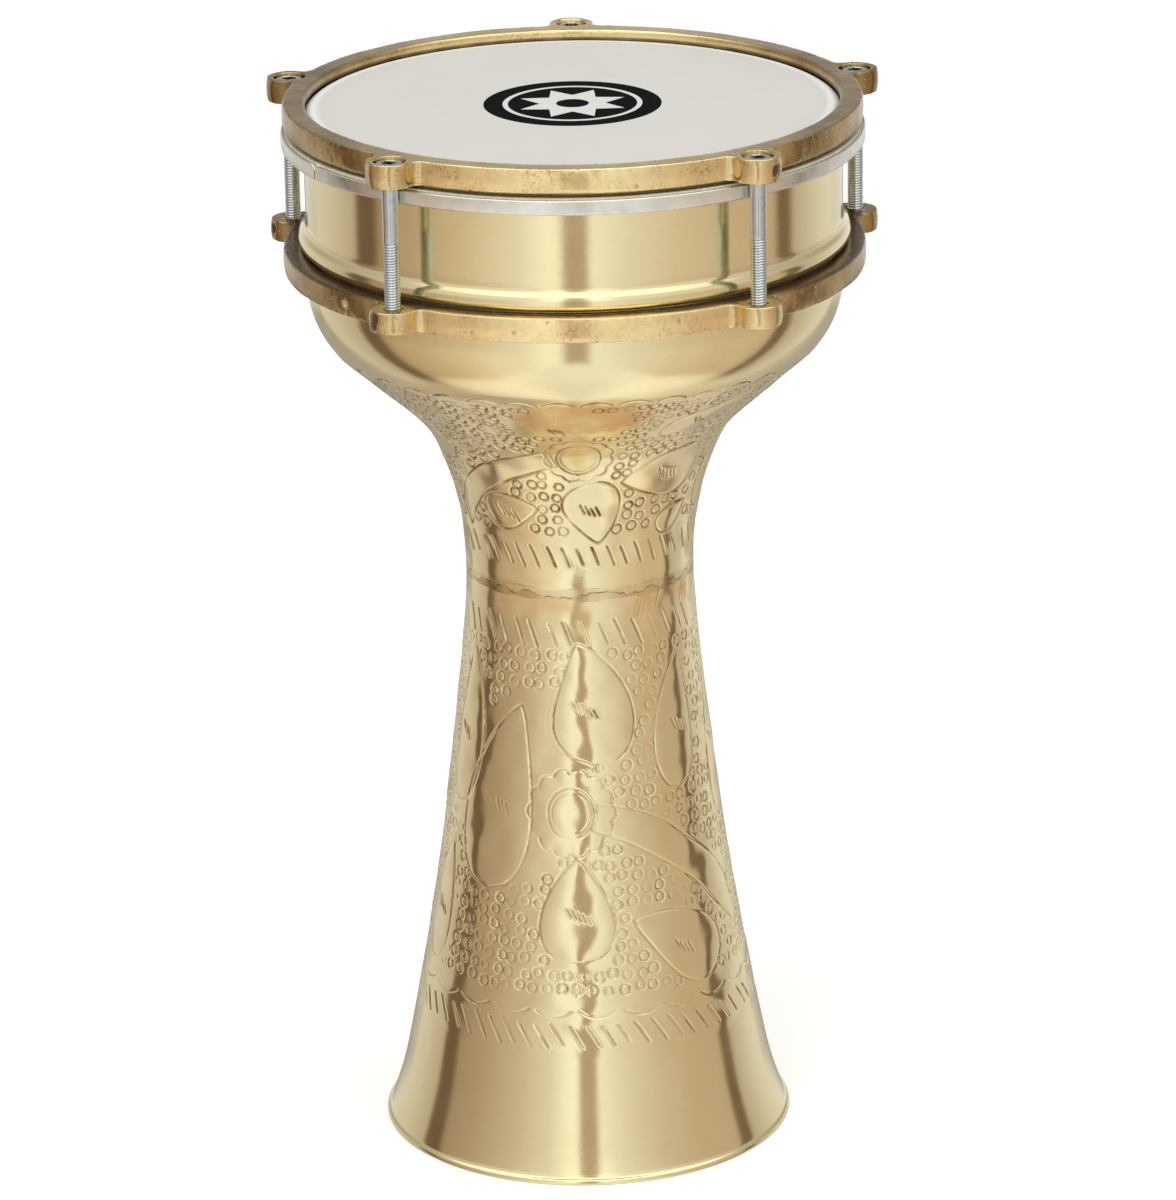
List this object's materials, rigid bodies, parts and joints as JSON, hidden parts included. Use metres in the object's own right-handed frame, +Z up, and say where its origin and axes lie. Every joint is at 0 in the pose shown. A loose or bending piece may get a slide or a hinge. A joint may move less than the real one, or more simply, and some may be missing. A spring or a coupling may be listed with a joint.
{
  "type": "goblet hand drum",
  "caption": "Goblet hand drum: chased brass shell in two brazed pieces, film head on an aluminium hoop, and two cast rings joined by tension bolts.",
  "frame": {"origin": "centre of the foot's rim, on the plane that the drum stands on", "axes": "+Z up along the drum's axis, +Y through the lug at the back, -Y towards the viewer"},
  "size_m": [0.2262, 0.2255, 0.4],
  "materials": {
    "shell_brass": "polished sheet brass, chased, lightly tarnished",
    "braze": "dull brazing metal",
    "cast_brass": "antiqued sand casting, speckled",
    "hoop_aluminium": "brushed",
    "resin": "set resin",
    "film": "smooth white polyester film with a printed centre",
    "zinc_steel": "bright zinc plate"
  },
  "bodies": {
    "shell": {"bowl_shell": "shell_brass", "foot_shell": "shell_brass", "waist_braze": "braze", "lower_ring": "cast_brass", "drumhead": "film", "flesh_hoop": "hoop_aluminium", "hoop_resin": "resin"},
    "tension_ring": {"top_ring": "cast_brass"},
    "bolt_1": {"tension_bolt_1": "zinc_steel"},
    "bolt_2": {"tension_bolt_2": "zinc_steel"},
    "bolt_3": {"tension_bolt_3": "zinc_steel"},
    "bolt_4": {"tension_bolt_4": "zinc_steel"},
    "bolt_5": {"tension_bolt_5": "zinc_steel"}
  },
  "joints": [
    {"name": "ring_travel", "type": "slide", "parent": "shell", "child": "tension_ring", "axis": [0, 0, 1], "range_m": [0, 0.006]},
    {"name": "bolt_1_turn", "type": "hinge", "parent": "tension_ring", "child": "bolt_1", "pos_m": [0, 0.11, 0.3936], "axis": [0, 0, 1], "range_deg": [0, 2160]},
    {"name": "bolt_2_turn", "type": "hinge", "parent": "tension_ring", "child": "bolt_2", "pos_m": [-0.10462, 0.03399, 0.3936], "axis": [0, 0, 1], "range_deg": [0, 2160]},
    {"name": "bolt_3_turn", "type": "hinge", "parent": "tension_ring", "child": "bolt_3", "pos_m": [-0.06466, -0.08899, 0.3936], "axis": [0, 0, 1], "range_deg": [0, 2160]},
    {"name": "bolt_4_turn", "type": "hinge", "parent": "tension_ring", "child": "bolt_4", "pos_m": [0.06466, -0.08899, 0.3936], "axis": [0, 0, 1], "range_deg": [0, 2160]},
    {"name": "bolt_5_turn", "type": "hinge", "parent": "tension_ring", "child": "bolt_5", "pos_m": [0.10462, 0.03399, 0.3936], "axis": [0, 0, 1], "range_deg": [0, 2160]}
  ],
  "couplings": [
    {"joint": "bolt_1_turn", "follows": "ring_travel", "rad_per_m": 6283.2},
    {"joint": "bolt_2_turn", "follows": "ring_travel", "rad_per_m": 6283.2},
    {"joint": "bolt_3_turn", "follows": "ring_travel", "rad_per_m": 6283.2},
    {"joint": "bolt_4_turn", "follows": "ring_travel", "rad_per_m": 6283.2},
    {"joint": "bolt_5_turn", "follows": "ring_travel", "rad_per_m": 6283.2}
  ]
}
